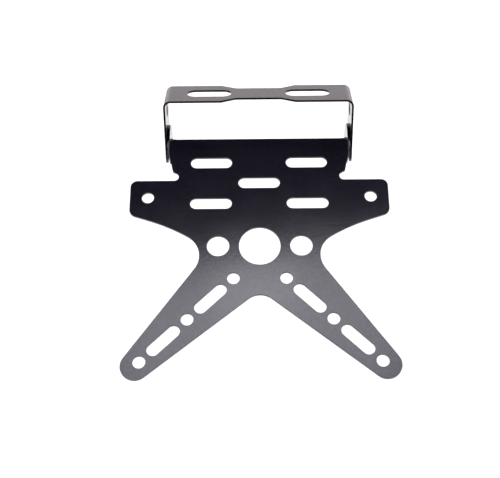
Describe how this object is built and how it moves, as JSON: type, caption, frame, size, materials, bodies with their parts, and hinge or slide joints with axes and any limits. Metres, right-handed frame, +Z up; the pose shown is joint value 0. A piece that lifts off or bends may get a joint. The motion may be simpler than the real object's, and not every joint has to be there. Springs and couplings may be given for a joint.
{
  "type": "tail tidy",
  "caption": "Black sheet-metal bracket with a slotted X-shaped number-plate holder, hinged between the arms of a folded strap that bolts under a motorcycle's tail.",
  "frame": {"origin": "centre of the strap's top face, midway between its two slots", "axes": "+X to the right as seen from behind the machine, +Y forwards to the machine, +Z up; the holder hangs towards -Y at 55 degrees from the arms"},
  "size_m": [0.1506, 0.149, 0.1104],
  "materials": {
    "powder_coat": "satin black powder coat on steel sheet",
    "fastener": "black oxide steel"
  },
  "bodies": {
    "bracket": {"tail_bracket": "powder_coat", "left_pivot_screw": "fastener", "right_pivot_screw": "fastener", "left_pivot_washer": "fastener", "right_pivot_washer": "fastener", "left_lock_nut": "fastener", "right_lock_nut": "fastener"},
    "holder": {"number_plate_holder": "powder_coat"}
  },
  "joints": [
    {"name": "plate_tilt", "type": "hinge", "parent": "bracket", "child": "holder", "pos_m": [0, 0, -0.0338], "axis": [1, 0, 0], "range_deg": [-35, 145]}
  ]
}
